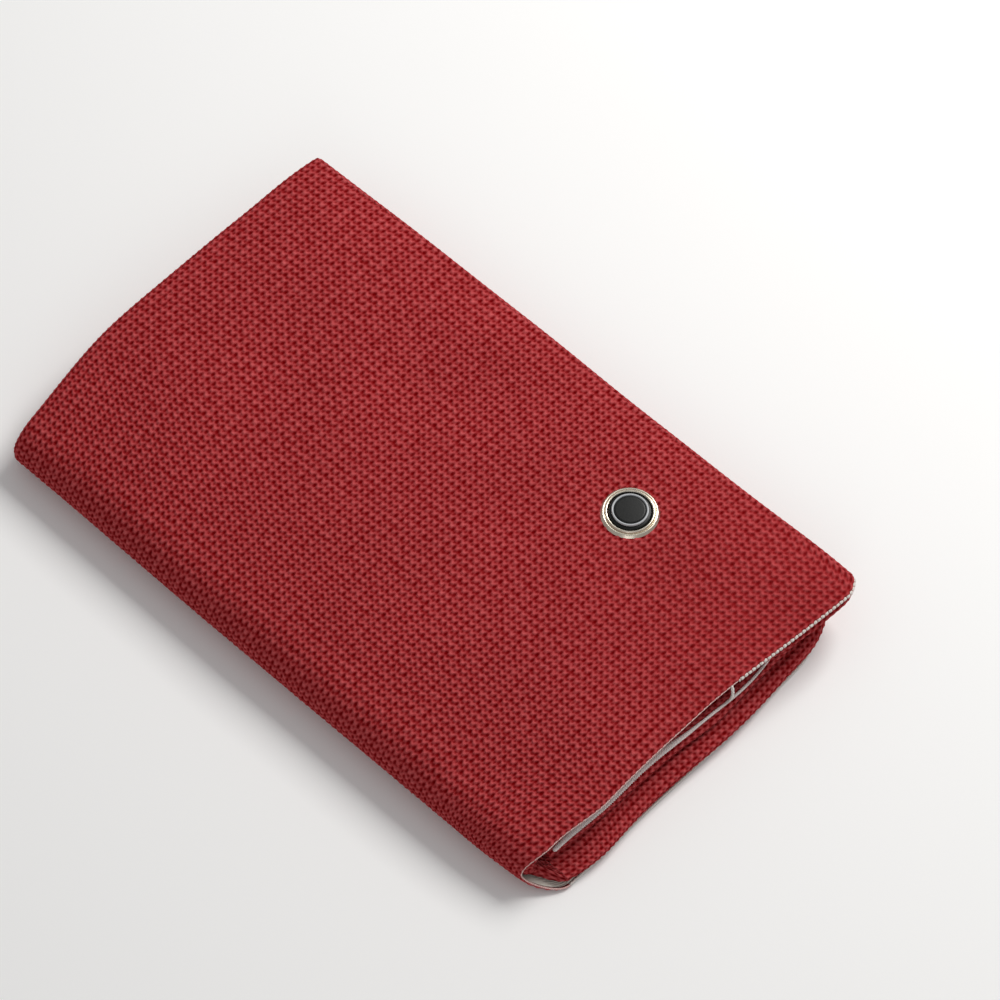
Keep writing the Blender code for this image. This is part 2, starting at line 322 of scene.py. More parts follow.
def add_grid(
    name: str,
    points: Array,
    uv: Array,
    flip: bool = False,
    keep: Optional[Array] = None,
    closed: bool = False,
    smooth: bool = True,
) -> bpy.types.Object:
    """Make a mesh of quads from a grid of points.

    Args:
        name: The object's name.
        points: Grid of shape (rows, columns, 3).
        uv: Grid of (rows, columns, 2), with one more row where the rows close on themselves.
        flip: Turn the faces over.
        keep: Which quads are kept, or None for all.
        closed: Join the last row to the first.
        smooth: Shade the faces smooth.

    Returns:
        The new object, linked to the scene.
    """
    rows, columns = points.shape[:2]
    index = np.arange(rows * columns).reshape(rows, columns)
    after = np.roll(index, -1, axis=0) if closed else index[1:]
    here = index if closed else index[:-1]
    quads = np.stack([here[:, :-1], after[:, :-1], after[:, 1:], here[:, 1:]], axis=-1)
    count = quads.shape[0]
    corner = np.stack([uv[:count, :-1], uv[1 : count + 1, :-1], uv[1 : count + 1, 1:], uv[:count, 1:]], 2)
    if flip:
        quads, corner = quads[..., ::-1], corner[..., ::-1, :]
    quads, corner = quads.reshape(-1, 4), corner.reshape(-1, 4, 2)
    if keep is not None:
        quads, corner = quads[keep.ravel()], corner[keep.ravel()]
    return add_faces(name, points.reshape(-1, 3), quads, corner.reshape(-1, 2), smooth)


def add_faces(
    name: str, points: Array, quads: Array, corner_uv: Array, smooth: bool = True
) -> bpy.types.Object:
    """Put points, quads and per-corner UVs into a new linked object."""
    mesh = bpy.data.meshes.new(name)
    used, quads = np.unique(quads, return_inverse=True)
    quads = quads.reshape(-1, 4)
    points = points[used]
    mesh.vertices.add(len(points))
    mesh.vertices.foreach_set("co", points.astype(np.float32).ravel())
    mesh.loops.add(quads.size)
    mesh.loops.foreach_set("vertex_index", quads.astype(np.int32).ravel())
    mesh.polygons.add(len(quads))
    mesh.polygons.foreach_set("loop_start", np.arange(0, quads.size, 4, dtype=np.int32))
    layer = mesh.uv_layers.new(name="UVMap")
    layer.data.foreach_set("uv", corner_uv.astype(np.float32).ravel())
    mesh.update(calc_edges=True)
    mesh.validate()
    if smooth:
        mesh.shade_smooth()
    thing = bpy.data.objects.new(name, mesh)
    bpy.context.scene.collection.objects.link(thing)
    return thing


def dress(thing: bpy.types.Object, material: bpy.types.Material) -> bpy.types.Object:
    """Give a piece its material."""
    thing.data.materials.clear()
    thing.data.materials.append(material)
    return thing


def tube(
    name: str, line: Array, radius: Array, flatten: Array, around: int = 10, across: int = 0
) -> bpy.types.Object:
    """Carry an ellipse along a line, with round closed ends.

    Each ring is the line's point plus radius times (cosine, flatten times sine) of the turn, in
    the plane across the line. Radii at both ends shrink to a point, so the tube is closed.

    Args:
        name: The object's name.
        line: Points of shape (n, 3).
        radius: Radius at each point.
        flatten: Share of the radius across the second direction, at each point.
        around: Points in each ring.
        across: The axis (0 to 2) that the ring's full radius lies nearest to.

    Returns:
        The tube, with UVs of turn and length in metres.
    """
    along = np.gradient(line, axis=0)
    along /= np.linalg.norm(along, axis=1, keepdims=True)
    side = np.eye(3)[across] - along * along[:, across : across + 1]
    side /= np.linalg.norm(side, axis=1, keepdims=True)
    up = np.cross(along, side)
    step = np.linalg.norm(np.diff(line, axis=0), axis=1)
    length = np.concatenate([[0.0], np.cumsum(step)])
    cap = np.minimum(length, length[-1] - length) / np.maximum(radius, 1e-6)
    radius = radius * np.sqrt(np.clip(1.0 - (1.0 - np.clip(cap, 0.0, 1.0)) ** 2, 0.0004, 1.0))
    turn = np.arange(around) * 2 * math.pi / around
    ring = (
        np.cos(turn)[:, None, None] * (side * radius[:, None])[None]
        + np.sin(turn)[:, None, None] * (up * (radius * flatten)[:, None])[None]
    )
    points = line[None] + ring
    rows = np.arange(around + 1) / around * 2 * math.pi * float(radius.mean())
    uv = np.stack(np.meshgrid(rows, length, indexing="ij"), axis=-1)
    thing = add_grid(name, points, uv, closed=True)
    close_ends(thing, around)
    return thing


def close_ends(thing: bpy.types.Object, around: int) -> None:
    """Fill a tube's two end rings with one face each and turn all faces outwards."""
    work = bmesh.new()
    work.from_mesh(thing.data)
    bmesh.ops.holes_fill(work, edges=[e for e in work.edges if e.is_boundary], sides=around)
    bmesh.ops.recalc_face_normals(work, faces=work.faces)
    work.to_mesh(thing.data)
    work.free()


def turned(name: str, centre: Vector, radius: Array, height: Array, steps: int = 96) -> bpy.types.Object:
    """Turn a closed profile about the vertical line through centre.

    Each point is the centre plus radius times (cosine, sine) of the turn, at its own height.
    """
    turn = np.arange(steps) * 2 * math.pi / steps
    radius, height = np.append(radius, radius[0]), np.append(height, height[0])
    points = np.stack([
        centre.x + np.cos(turn)[:, None] * radius[None, :-1],
        centre.y + np.sin(turn)[:, None] * radius[None, :-1],
        centre.z + np.repeat(height[None, :-1], steps, axis=0),
    ], axis=-1)
    points = np.concatenate([points, points[:, :1]], axis=1)
    length = np.concatenate([[0.0], np.cumsum(np.hypot(np.diff(radius), np.diff(height)))])
    rows = np.arange(steps + 1) / steps * 2 * math.pi * float(radius.mean())
    uv = np.stack(np.meshgrid(rows, length, indexing="ij"), axis=-1)
    thing = add_grid(name, points, uv, closed=True)
    merge_and_face(thing)
    return thing


def merge_and_face(thing: bpy.types.Object) -> None:
    """Merge doubled points and turn the faces outwards."""
    work = bmesh.new()
    work.from_mesh(thing.data)
    bmesh.ops.remove_doubles(work, verts=work.verts, dist=1e-6)
    bmesh.ops.recalc_face_normals(work, faces=work.faces)
    work.to_mesh(thing.data)
    work.free()
    thing.data.set_sharp_from_angle(angle=math.radians(50))


# ---------------------------------------------------------------------------------------------
# Shader groups and finishes
# ---------------------------------------------------------------------------------------------


class Weave:
    """The face cloth's weave: U-shaped loops of yarn round a dimple, with a pinhole between."""

    PITCH_R = 0.00305
    PITCH_S = 0.00343
    SKEW = 0.055
    COLUMN = -0.34
    DOUBLE = -0.15
    ROW = 0.26
    ROW_TURN = math.radians(102)
    LOOP = 0.52
    LOOP_TURN = -math.radians(151)

    @classmethod
    def height(cls, r: Array, s: Array) -> Array:
        """Height from -1 in a pinhole to 1 on a bump, over lengths r and s.

        With U and V as the turns along and across, it is COLUMN cos U + DOUBLE cos 2U
        + ROW cos(V + ROW_TURN) + LOOP cos U cos(V + LOOP_TURN).
        """
        u = 2 * math.pi * r / cls.PITCH_R
        v = 2 * math.pi * (s / cls.PITCH_S - cls.SKEW * r / cls.PITCH_R)
        return (
            cls.COLUMN * np.cos(u)
            + cls.DOUBLE * np.cos(2 * u)
            + cls.ROW * np.cos(v + cls.ROW_TURN)
            + cls.LOOP * np.cos(u) * np.cos(v + cls.LOOP_TURN)
        )


class NodeBuilder:
    """Short calls for putting nodes into one tree."""

    def __init__(self, tree: bpy.types.NodeTree) -> None:
        """Keep the tree that nodes go into."""
        self.tree = tree

    def add(self, kind: str, **settings: object) -> bpy.types.Node:
        """A node of one kind with its settings."""
        node = self.tree.nodes.new(kind)
        for key, value in settings.items():
            setattr(node, key, value)
        return node

    def link(self, source: object, target: object) -> None:
        """Feed a socket, or set it to a plain value."""
        if isinstance(source, bpy.types.NodeSocket):
            self.tree.links.new(source, target)
        else:
            target.default_value = source

    def math(self, operation: str, first: object, second: object = None, clamp: bool = False) -> object:
        """The output of a Math node."""
        node = self.add("ShaderNodeMath", operation=operation, use_clamp=clamp)
        self.link(first, node.inputs[0])
        if second is not None:
            self.link(second, node.inputs[1])
        return node.outputs[0]

    def plus(self, first: object, second: object) -> object:
        """The sum of two values."""
        return self.math("ADD", first, second)

    def times(self, first: object, second: object) -> object:
        """The product of two values."""
        return self.math("MULTIPLY", first, second)

    def centred(self, value: object, share: float) -> object:
        """A noise value less a half, times a share."""
        return self.times(self.math("SUBTRACT", value, 0.5), share)

    def split(self, vector: object) -> bpy.types.Node:
        """A vector's parts, as a node."""
        node = self.add("ShaderNodeSeparateXYZ")
        self.link(vector, node.inputs[0])
        return node

    def mix(self, share: object, first: object, second: object, blend: str = "MIX") -> object:
        """The colour between two colours."""
        node = self.add("ShaderNodeMix", data_type="RGBA", blend_type=blend)
        self.link(share, node.inputs["Factor"])
        self.link(first, node.inputs["A"])
        self.link(second, node.inputs["B"])
        return node.outputs["Result"]

    def noise(self, vector: object, scale: float, detail: float = 2.0, rough: float = 0.5) -> object:
        """The value of a Noise Texture."""
        node = self.add("ShaderNodeTexNoise")
        self.link(vector, node.inputs["Vector"])
        node.inputs["Scale"].default_value = scale
        node.inputs["Detail"].default_value = detail
        node.inputs["Roughness"].default_value = rough
        return node.outputs["Fac"]

    def ramp(
        self, value: object, low: float, high: float, to_low: float = 0.0, to_high: float = 1.0
    ) -> object:
        """A value carried from one range to another, and held at the ends."""
        node = self.add("ShaderNodeMapRange")
        self.link(value, node.inputs["Value"])
        for key, number in (("From Min", low), ("From Max", high), ("To Min", to_low), ("To Max", to_high)):
            node.inputs[key].default_value = number
        return node.outputs["Result"]


def start_group(name: str, inputs: Sequence[tuple[str, str]], outputs: Sequence[tuple[str, str]]) -> tuple:
    """A new shader node group with its sockets, as (group, builder, input node, output node)."""
    group = bpy.data.node_groups.new(name, "ShaderNodeTree")
    for label, kind in inputs:
        group.interface.new_socket(name=label, in_out="INPUT", socket_type=kind)
    for label, kind in outputs:
        group.interface.new_socket(name=label, in_out="OUTPUT", socket_type=kind)
    make = NodeBuilder(group)
    return group, make, make.add("NodeGroupInput"), make.add("NodeGroupOutput")


class SharedEffects:
    """The shader groups that several finishes use, each built once."""

    def __init__(self) -> None:
        """Build every group."""
        self.weave = self._weave()
        self.fibre = self._fibre()
        self.scuff = self._scuff()

    @staticmethod
    def _weave() -> bpy.types.NodeTree:
        """Height of the face cloth's weave, over the UV map in metres.

        The same formula as Weave.height, with noise that shifts the yarns a little.
        """
        group, make, given, out = start_group(
            "weave_relief",
            [("UV", "NodeSocketVector"), ("Wander", "NodeSocketFloat")],
            [("Height", "NodeSocketFloat")],
        )
        split = make.split(given.outputs["UV"])
        drift = make.math("SUBTRACT", make.noise(given.outputs["UV"], 160.0, 1.0), 0.5)
        drift = make.times(drift, given.outputs["Wander"])
        other = make.math("SUBTRACT", make.noise(given.outputs["UV"], 210.0, 1.0), 0.5)
        other = make.times(other, given.outputs["Wander"])
        u = make.times(split.outputs["X"], 2 * math.pi / Weave.PITCH_R)
        v = make.times(split.outputs["Y"], 2 * math.pi / Weave.PITCH_S)
        v = make.math("SUBTRACT", v, make.times(u, Weave.SKEW))
        u, v = make.plus(u, drift), make.plus(v, other)
        cos_u = make.math("COSINE", u)
        cos_2u = make.math("COSINE", make.times(u, 2.0))
        cos_v = make.math("COSINE", make.plus(v, Weave.ROW_TURN))
        cos_w = make.math("COSINE", make.plus(v, Weave.LOOP_TURN))
        total = make.times(cos_u, Weave.COLUMN)
        total = make.plus(total, make.times(cos_2u, Weave.DOUBLE))
        total = make.plus(total, make.times(cos_v, Weave.ROW))
        total = make.plus(total, make.times(make.times(cos_u, cos_w), Weave.LOOP))
        make.link(total, out.inputs["Height"])
        return group

    @staticmethod
    def _fibre() -> bpy.types.NodeTree:
        """Fine fibre grain and slow patches, from a position."""
        group, make, given, out = start_group(
            "fibre_grain",
            [("Position", "NodeSocketVector")],
            [("Fine", "NodeSocketFloat"), ("Cell", "NodeSocketFloat"), ("Patch", "NodeSocketFloat")],
        )
        make.link(make.noise(given.outputs["Position"], 2600.0, 3.0, 0.6), out.inputs["Fine"])
        make.link(make.noise(given.outputs["Position"], 330.0, 1.0), out.inputs["Cell"])
        make.link(make.noise(given.outputs["Position"], 24.0, 2.0), out.inputs["Patch"])
        return group

    @staticmethod
    def _scuff() -> bpy.types.NodeTree:
        """Small marks on a hard surface, from a position."""
        group, make, given, out = start_group(
            "hard_scuff",
            [("Position", "NodeSocketVector"), ("Scale", "NodeSocketFloat")],
            [("Mask", "NodeSocketFloat"), ("Height", "NodeSocketFloat")],
        )
        scaled = make.add("ShaderNodeVectorMath", operation="SCALE")
        make.link(given.outputs["Position"], scaled.inputs[0])
        make.link(given.outputs["Scale"], scaled.inputs["Scale"])
        grain = make.noise(scaled.outputs[0], 1.0, 4.0, 0.65)
        make.link(make.ramp(grain, 0.45, 0.7), out.inputs["Mask"])
        make.link(grain, out.inputs["Height"])
        return group


class Finish:
    """A material being made: its shader, its builder and the two coordinate sources."""

    def __init__(self, name: str, roughness: float, metallic: float = 0.0) -> None:
        """Start a Principled material."""
        self.material = bpy.data.materials.new(name)
        self.material.use_nodes = True
        self.make = NodeBuilder(self.material.node_tree)
        self.shader = self.material.node_tree.nodes["Principled BSDF"]
        self.shader.inputs["Roughness"].default_value = roughness
        self.shader.inputs["Metallic"].default_value = metallic
        self.coordinates = self.make.add("ShaderNodeTexCoord")

    def group(self, tree: bpy.types.NodeTree, **inputs: object) -> bpy.types.Node:
        """Place a shared group with its inputs."""
        node = self.make.add("ShaderNodeGroup", node_tree=tree)
        for key, value in inputs.items():
            self.make.link(value, node.inputs[key])
        return node

    def bump(self, height: object, distance: float, strength: float = 1.0) -> None:
        """Feed the shader's normal from a height."""
        node = self.make.add("ShaderNodeBump")
        node.inputs["Distance"].default_value = distance
        node.inputs["Strength"].default_value = strength
        self.make.link(height, node.inputs["Height"])
        self.make.link(node.outputs["Normal"], self.shader.inputs["Normal"])

    def colour(self, value: object) -> None:
        """Feed the shader's base colour."""
        self.make.link(value, self.shader.inputs["Base Color"])


@dataclass(frozen=True)
class FaceClothFinish:
    """Heavy woven face cloth: yarn tops lightened by painted highlight, pinholes darkened by painted shade,
    and fibre grain.
    """

    name: str
    # yarn is the bump colour with painted highlight on the yarn tops; hole is painted shade in the pinholes;
    # body lies between.
    yarn: tuple = (0.535, 0.094, 0.099, 1.0)
    body: tuple = (0.310, 0.0195, 0.0225, 1.0)
    hole: tuple = (0.165, 0.0010, 0.0018, 1.0)
    wander: float = 1.9
    bump: float = 0.00036
    # Share by which the weave's painted highlight and shade fade in one corner patch.
    painted_light_fade: float = 0.38

    def build(self, shared: SharedEffects) -> bpy.types.Material:
        """Make the material."""
        finish = Finish(self.name, roughness=0.82)
        make, uv = finish.make, finish.coordinates.outputs["UV"]
        weave = finish.group(shared.weave, UV=uv, Wander=self.wander)
        fibre = finish.group(shared.fibre, Position=uv)
        height, fine = weave.outputs["Height"], fibre.outputs["Fine"]
        cell, patch = fibre.outputs["Cell"], fibre.outputs["Patch"]
        lifted = make.plus(height, make.centred(cell, 1.45))
        lifted = make.plus(lifted, make.centred(fine, 0.9))
        split = make.split(uv)
        # In a patch towards one corner of the sheet, the weave's painted highlight and shade fade with its
        # grain, and the tint shifts a little darker.
        near, right = make.ramp(split.outputs["X"], -0.19, -0.27), make.ramp(split.outputs["Y"], 0.13, 0.05)
        painted_light_change = make.times(near, right)
        kept = make.math("SUBTRACT", 1.0, make.times(painted_light_change, self.painted_light_fade))
        lifted = make.plus(make.times(lifted, kept), make.times(painted_light_change, -0.05))
        # Painted light: the tint rises to the highlit yarn colour on the bumps and falls to the painted
        # shade of hole in the pinholes.
        tint = make.mix(make.ramp(lifted, -0.35, 1.05), self.body, self.yarn)
        tint = make.mix(make.ramp(lifted, 0.05, -0.95), tint, self.hole)
        slow = make.ramp(patch, 0.3, 0.7, -0.05, 0.05)
        bright = make.plus(make.ramp(fine, 0.3, 0.7, 0.86, 1.12), slow)
        shade = make.add("ShaderNodeCombineColor")
        for key in ("Red", "Green", "Blue"):
            make.link(bright, shade.inputs[key])
        finish.colour(make.mix(1.0, tint, shade.outputs[0], "MULTIPLY"))
        make.link(make.ramp(fine, 0.3, 0.7, 0.74, 0.92), finish.shader.inputs["Roughness"])
        relief = make.plus(height, make.times(fine, 0.35))
        finish.bump(relief, self.bump)
        finish.shader.inputs["Specular IOR Level"].default_value = 0.0
        return finish.material


@dataclass(frozen=True)
class LiningFinish:
    """Off-white lining with fine ribs along one of its threads."""

    name: str
    pale: tuple = (0.73, 0.70, 0.63, 1.0)
    dull: tuple = (0.50, 0.47, 0.41, 1.0)
    rib_pitch: float = 0.0011

    def build(self, shared: SharedEffects) -> bpy.types.Material:
        """Make the material."""
        finish = Finish(self.name, roughness=0.88)
        make, uv = finish.make, finish.coordinates.outputs["UV"]
        fibre = finish.group(shared.fibre, Position=uv)
        split = make.split(uv)
        turn = make.times(split.outputs["X"], 2 * math.pi / self.rib_pitch)
        turn = make.plus(turn, make.times(fibre.outputs["Cell"], 2.0))
        cross = make.times(split.outputs["Y"], 2 * math.pi / (self.rib_pitch * 0.8))
        crossed = make.times(make.math("COSINE", cross), 0.35)
        rib = make.plus(make.math("COSINE", turn), crossed)
        rib = make.plus(rib, make.times(fibre.outputs["Fine"], 0.6))
        finish.colour(make.mix(make.ramp(rib, -0.9, 1.1), self.dull, self.pale))
        finish.bump(rib, 0.00012)
        return finish.material


@dataclass(frozen=True)
class ThreadFinish:
    """Spun thread with plies that wind round it."""

    name: str
    pale: tuple = (0.88, 0.85, 0.80, 1.0)
    dull: tuple = (0.60, 0.54, 0.49, 1.0)
    gap: tuple = (0.34, 0.11, 0.10, 1.0)
    twist: float = 0.0009
    stitch: float = 0.0

    def build(self, shared: SharedEffects) -> bpy.types.Material:
        """Make the material."""
        finish = Finish(self.name, roughness=0.75)
        make, uv = finish.make, finish.coordinates.outputs["UV"]
        fibre = finish.group(shared.fibre, Position=uv)
        split = make.split(uv)
        lean = make.plus(split.outputs["X"], split.outputs["Y"])
        ply = make.math("COSINE", make.times(lean, 2 * math.pi / self.twist))
        ply = make.plus(ply, make.times(fibre.outputs["Fine"], 0.7))
        tint = make.mix(make.ramp(ply, -0.8, 0.9), self.dull, self.pale)
        if self.stitch:
            turn = make.times(split.outputs["Y"], math.pi / self.stitch)
            swell = make.math("ABSOLUTE", make.math("SINE", turn))
            tint = make.mix(make.ramp(swell, 0.45, 0.15), tint, self.gap)
        finish.colour(tint)
        finish.bump(ply, 0.00010)
        finish.shader.inputs["Sheen Weight"].default_value = 0.2
        return finish.material


@dataclass(frozen=True)
class NickelFinish:
    """Warm nickel plate with faint scuffs."""

    name: str
    plate: tuple = (0.74, 0.68, 0.57, 1.0)
    dull: tuple = (0.58, 0.51, 0.40, 1.0)

    def build(self, shared: SharedEffects) -> bpy.types.Material:
        """Make the material."""
        finish = Finish(self.name, roughness=0.2, metallic=1.0)
        make, place = finish.make, finish.coordinates.outputs["Object"]
        scuff = finish.group(shared.scuff, Position=place, Scale=260.0)
        finish.colour(make.mix(make.times(scuff.outputs["Mask"], 0.6), self.plate, self.dull))
        make.link(make.ramp(scuff.outputs["Mask"], 0.0, 1.0, 0.27, 0.40), finish.shader.inputs["Roughness"])
        return finish.material


@dataclass(frozen=True)
class PlasticFinish:
    """Moulded plastic with a faint grain."""

    name: str
    tone: tuple
    dusty: tuple
    roughness: float = 0.4

    def build(self, shared: SharedEffects) -> bpy.types.Material:
        """Make the material."""
        finish = Finish(self.name, roughness=self.roughness)
        make, place = finish.make, finish.coordinates.outputs["Object"]
        scuff = finish.group(shared.scuff, Position=place, Scale=1500.0)
        finish.colour(make.mix(make.times(scuff.outputs["Mask"], 0.5), self.tone, self.dusty))
        low, high = self.roughness * 0.85, self.roughness * 1.25
        make.link(make.ramp(scuff.outputs["Height"], 0.3, 0.7, low, high), finish.shader.inputs["Roughness"])
        finish.bump(scuff.outputs["Height"], 0.00002)
        finish.shader.inputs["Specular IOR Level"].default_value = 0.3
        return finish.material


class Slot(Enum):
    """The record's material slots."""

    FACE = "face_cloth"
    LINING = "lining"
    THREAD = "thread"
    HEM = "hem"
    NICKEL = "nickel"
    BLACK = "plug_black"
    PALE = "plug_pale"


STITCH = 0.0021
FLOOR_HEIGHT = -0.0004
ROOM_LIGHT = 0.36


@dataclass
class Finishes:
    """Every material, by slot."""

    shared: SharedEffects = field(default_factory=SharedEffects)

    def __post_init__(self) -> None:
        """Make the materials."""
        kinds = {
            Slot.FACE: FaceClothFinish("red_face_cloth"),
            Slot.LINING: LiningFinish("white_lining"),
            Slot.THREAD: ThreadFinish("white_thread"),
            Slot.HEM: FaceClothFinish("red_hem", wander=1.6),
            Slot.NICKEL: NickelFinish("nickel"),
            Slot.BLACK: PlasticFinish("black_plastic", (0.007, 0.0075, 0.0072, 1), (0.012, 0.012, 0.012, 1)),
            Slot.PALE: PlasticFinish("pale_plastic", (0.50, 0.52, 0.54, 1), (0.34, 0.35, 0.37, 1), 0.3),
        }
        self.by_slot = {slot: kind.build(self.shared) for slot, kind in kinds.items()}
        self.stitched = ThreadFinish("stitched_thread", stitch=STITCH).build(self.shared)
        # The thin edge thread is a real thread; its pale pink is painted highlight along the flap's cut
        # edge.
        painted_light_change = ThreadFinish("highlit_edge_thread", pale=(0.90, 0.62, 0.58, 1.0), dull=(0.66, 0.32, 0.30, 1.0))
        self.painted_light_change = painted_light_change.build(self.shared)
        binding = ThreadFinish("binding_thread", pale=(0.97, 0.91, 0.89, 1.0), dull=(0.84, 0.70, 0.68, 1.0))
        self.binding = binding.build(self.shared)

    def dress(self, thing: bpy.types.Object, slot: Slot) -> bpy.types.Object:
        """Dress a piece in one slot's material."""
        return dress(thing, self.by_slot[slot])


# ---------------------------------------------------------------------------------------------
# Near edges, piece by piece. Each is a shift of x as a function of y and s.
# ---------------------------------------------------------------------------------------------


@dataclass
class NearEdges:
    """How far each layer's near end stands from its place on the square pack."""

    shape: PackShape
    thirds: ThirdsFold

    @staticmethod
    def lean(y: Array) -> Array:
        """The whole top's near end leans out towards the right and in towards the spine."""
        left = -0.0012 * ease(-y, 0.02, 0.08) - 0.0038 * ease(-y, 0.050, 0.084)
        return -0.0020 + 0.0074 * ease(y, 0.008, 0.090) + left

    def outer_flap(self, y: Array, s: Array) -> Array:
        """The outer flap dips in at its middle; round the spine its edge falls back, then grows."""
        start = self.thirds.spine_start
        dip = -0.0013 * np.exp(-(((y - 0.022) / 0.030) ** 2)) + 0.0004 * np.sin(70.0 * y)
        round_spine = -0.0030 * ease(s, start - 0.001, start + 0.018)
        round_spine = round_spine + 0.0138 * ease(s, start + 0.021, start + 0.045)
        corner = -0.0050 * past(y, self.shape.width / 2 - 0.010) / 0.010**2
        return dip + self.lean(y) + round_spine + np.where(s < start, corner, 0.0)

    def top_roll(self, y: Array, s: Array) -> Array:
        """The top section's closed fold: tucked in near the spine, just out on the right."""
        start = self.thirds.spine_start
        top = -0.0064 + 0.0045 * ease(y, 0.010, 0.075) + self.lean(y)
        back = ease(s, start - 0.012, start + 0.004)
        top = top - 0.0040 * past(y, 0.088) / 0.012**2
        grow = 0.0115 * ease(s, start + 0.031, self.thirds.bottom_start)
        return top * (1.0 - back) - 0.0110 * back + grow

    def lower_flap(self, y: Array, s: Array) -> Array:
        """The lower sections' cut edge: it carries on from the spine, then is tucked in on the right."""
        middle = ease(s, self.thirds.crease_start, self.thirds.middle_start)
        spine = -0.0010 * (1.0 - ease(s, self.thirds.bottom_start, self.thirds.bottom_start + 0.03))
        over = -0.0052 - 0.0018 * ease(-y, -0.034, -0.004) - 0.0030 * ease(-y, -0.010, 0.030)
        over = over - 0.0018 * ease(-y, 0.045, 0.085) - 0.0035 * ease(y, 0.035, 0.075)
        corner = -0.0190 * past(y, 0.062) / 0.036**2
        return spine * (1.0 - middle) + over * middle + corner

    def lower_roll(self, y: Array, s: Array) -> Array:
        """The closed folds of the two lower sections, rounded off at the pack's corners.

        The bottom one stands furthest out.
        """
        middle = ease(s, self.thirds.crease_start, self.thirds.middle_start)
        right = -0.0130 * past(y, 0.066) / 0.030**2
        left = -0.0036 * past(-y, 0.056) / 0.030**2
        ripple = 0.0006 * np.sin(64.0 * y + 2.0 * middle)
        tuck = -0.0052 - 0.0030 * ease(-y, -0.020, 0.010) - 0.0020 * ease(-y, 0.04, 0.08)
        return -0.0014 + tuck * middle + right + left + ripple


# ---------------------------------------------------------------------------------------------
# Sub-assemblies
# ---------------------------------------------------------------------------------------------


@dataclass
class SoftPart:
    """What the cloth and its edging share: the folds, the near edges and the way they move."""

    shape: PackShape
    finishes: Finishes
    near_roll: float = 0.0033
    bend_low: float = 0.0071
    bend_high: float = 0.0125

    def __post_init__(self) -> None:
        """Lay out the folds."""
        shape = self.shape
        self.thirds = ThirdsFold(shape)
        self.edges = NearEdges(shape, self.thirds)
        self.top = self.letter(True)
        self.lower = self.letter(False)

    def letter(self, top: bool, inset: float = 0.0) -> LetterFold:
        """The letter fold of the top section, or of the lower ones, with an inset from the face."""
        shape = self.shape
        if top:
            return LetterFold(shape, shape.flap_edge, shape.top_near, self.near_roll, inset)
        return LetterFold(shape, shape.lower_flap_edge, shape.lower_near, self.near_roll, inset)

    def follow_spine(self, thing: bpy.types.Object) -> None:
        """Bake the transform of a piece of the spine, between the lower sections and the top one, into its
        mesh.
        """
        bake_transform(thing)

    def move(self, thing: bpy.types.Object, top: bool) -> None:
        """Bake the transform of a piece of the wrap round the spine, or ride one below it on the lower
        sections.
        """
        if top:
            self.follow_spine(thing)
        else:
            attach(thing, LOWER_BODY)

    @staticmethod
    def lengths(start: float, end: float, step: float) -> Array:
        """Evenly spaced lengths from start to end, about a step apart."""
        return np.linspace(start, end, max(2, int(round((end - start) / step)) + 1))


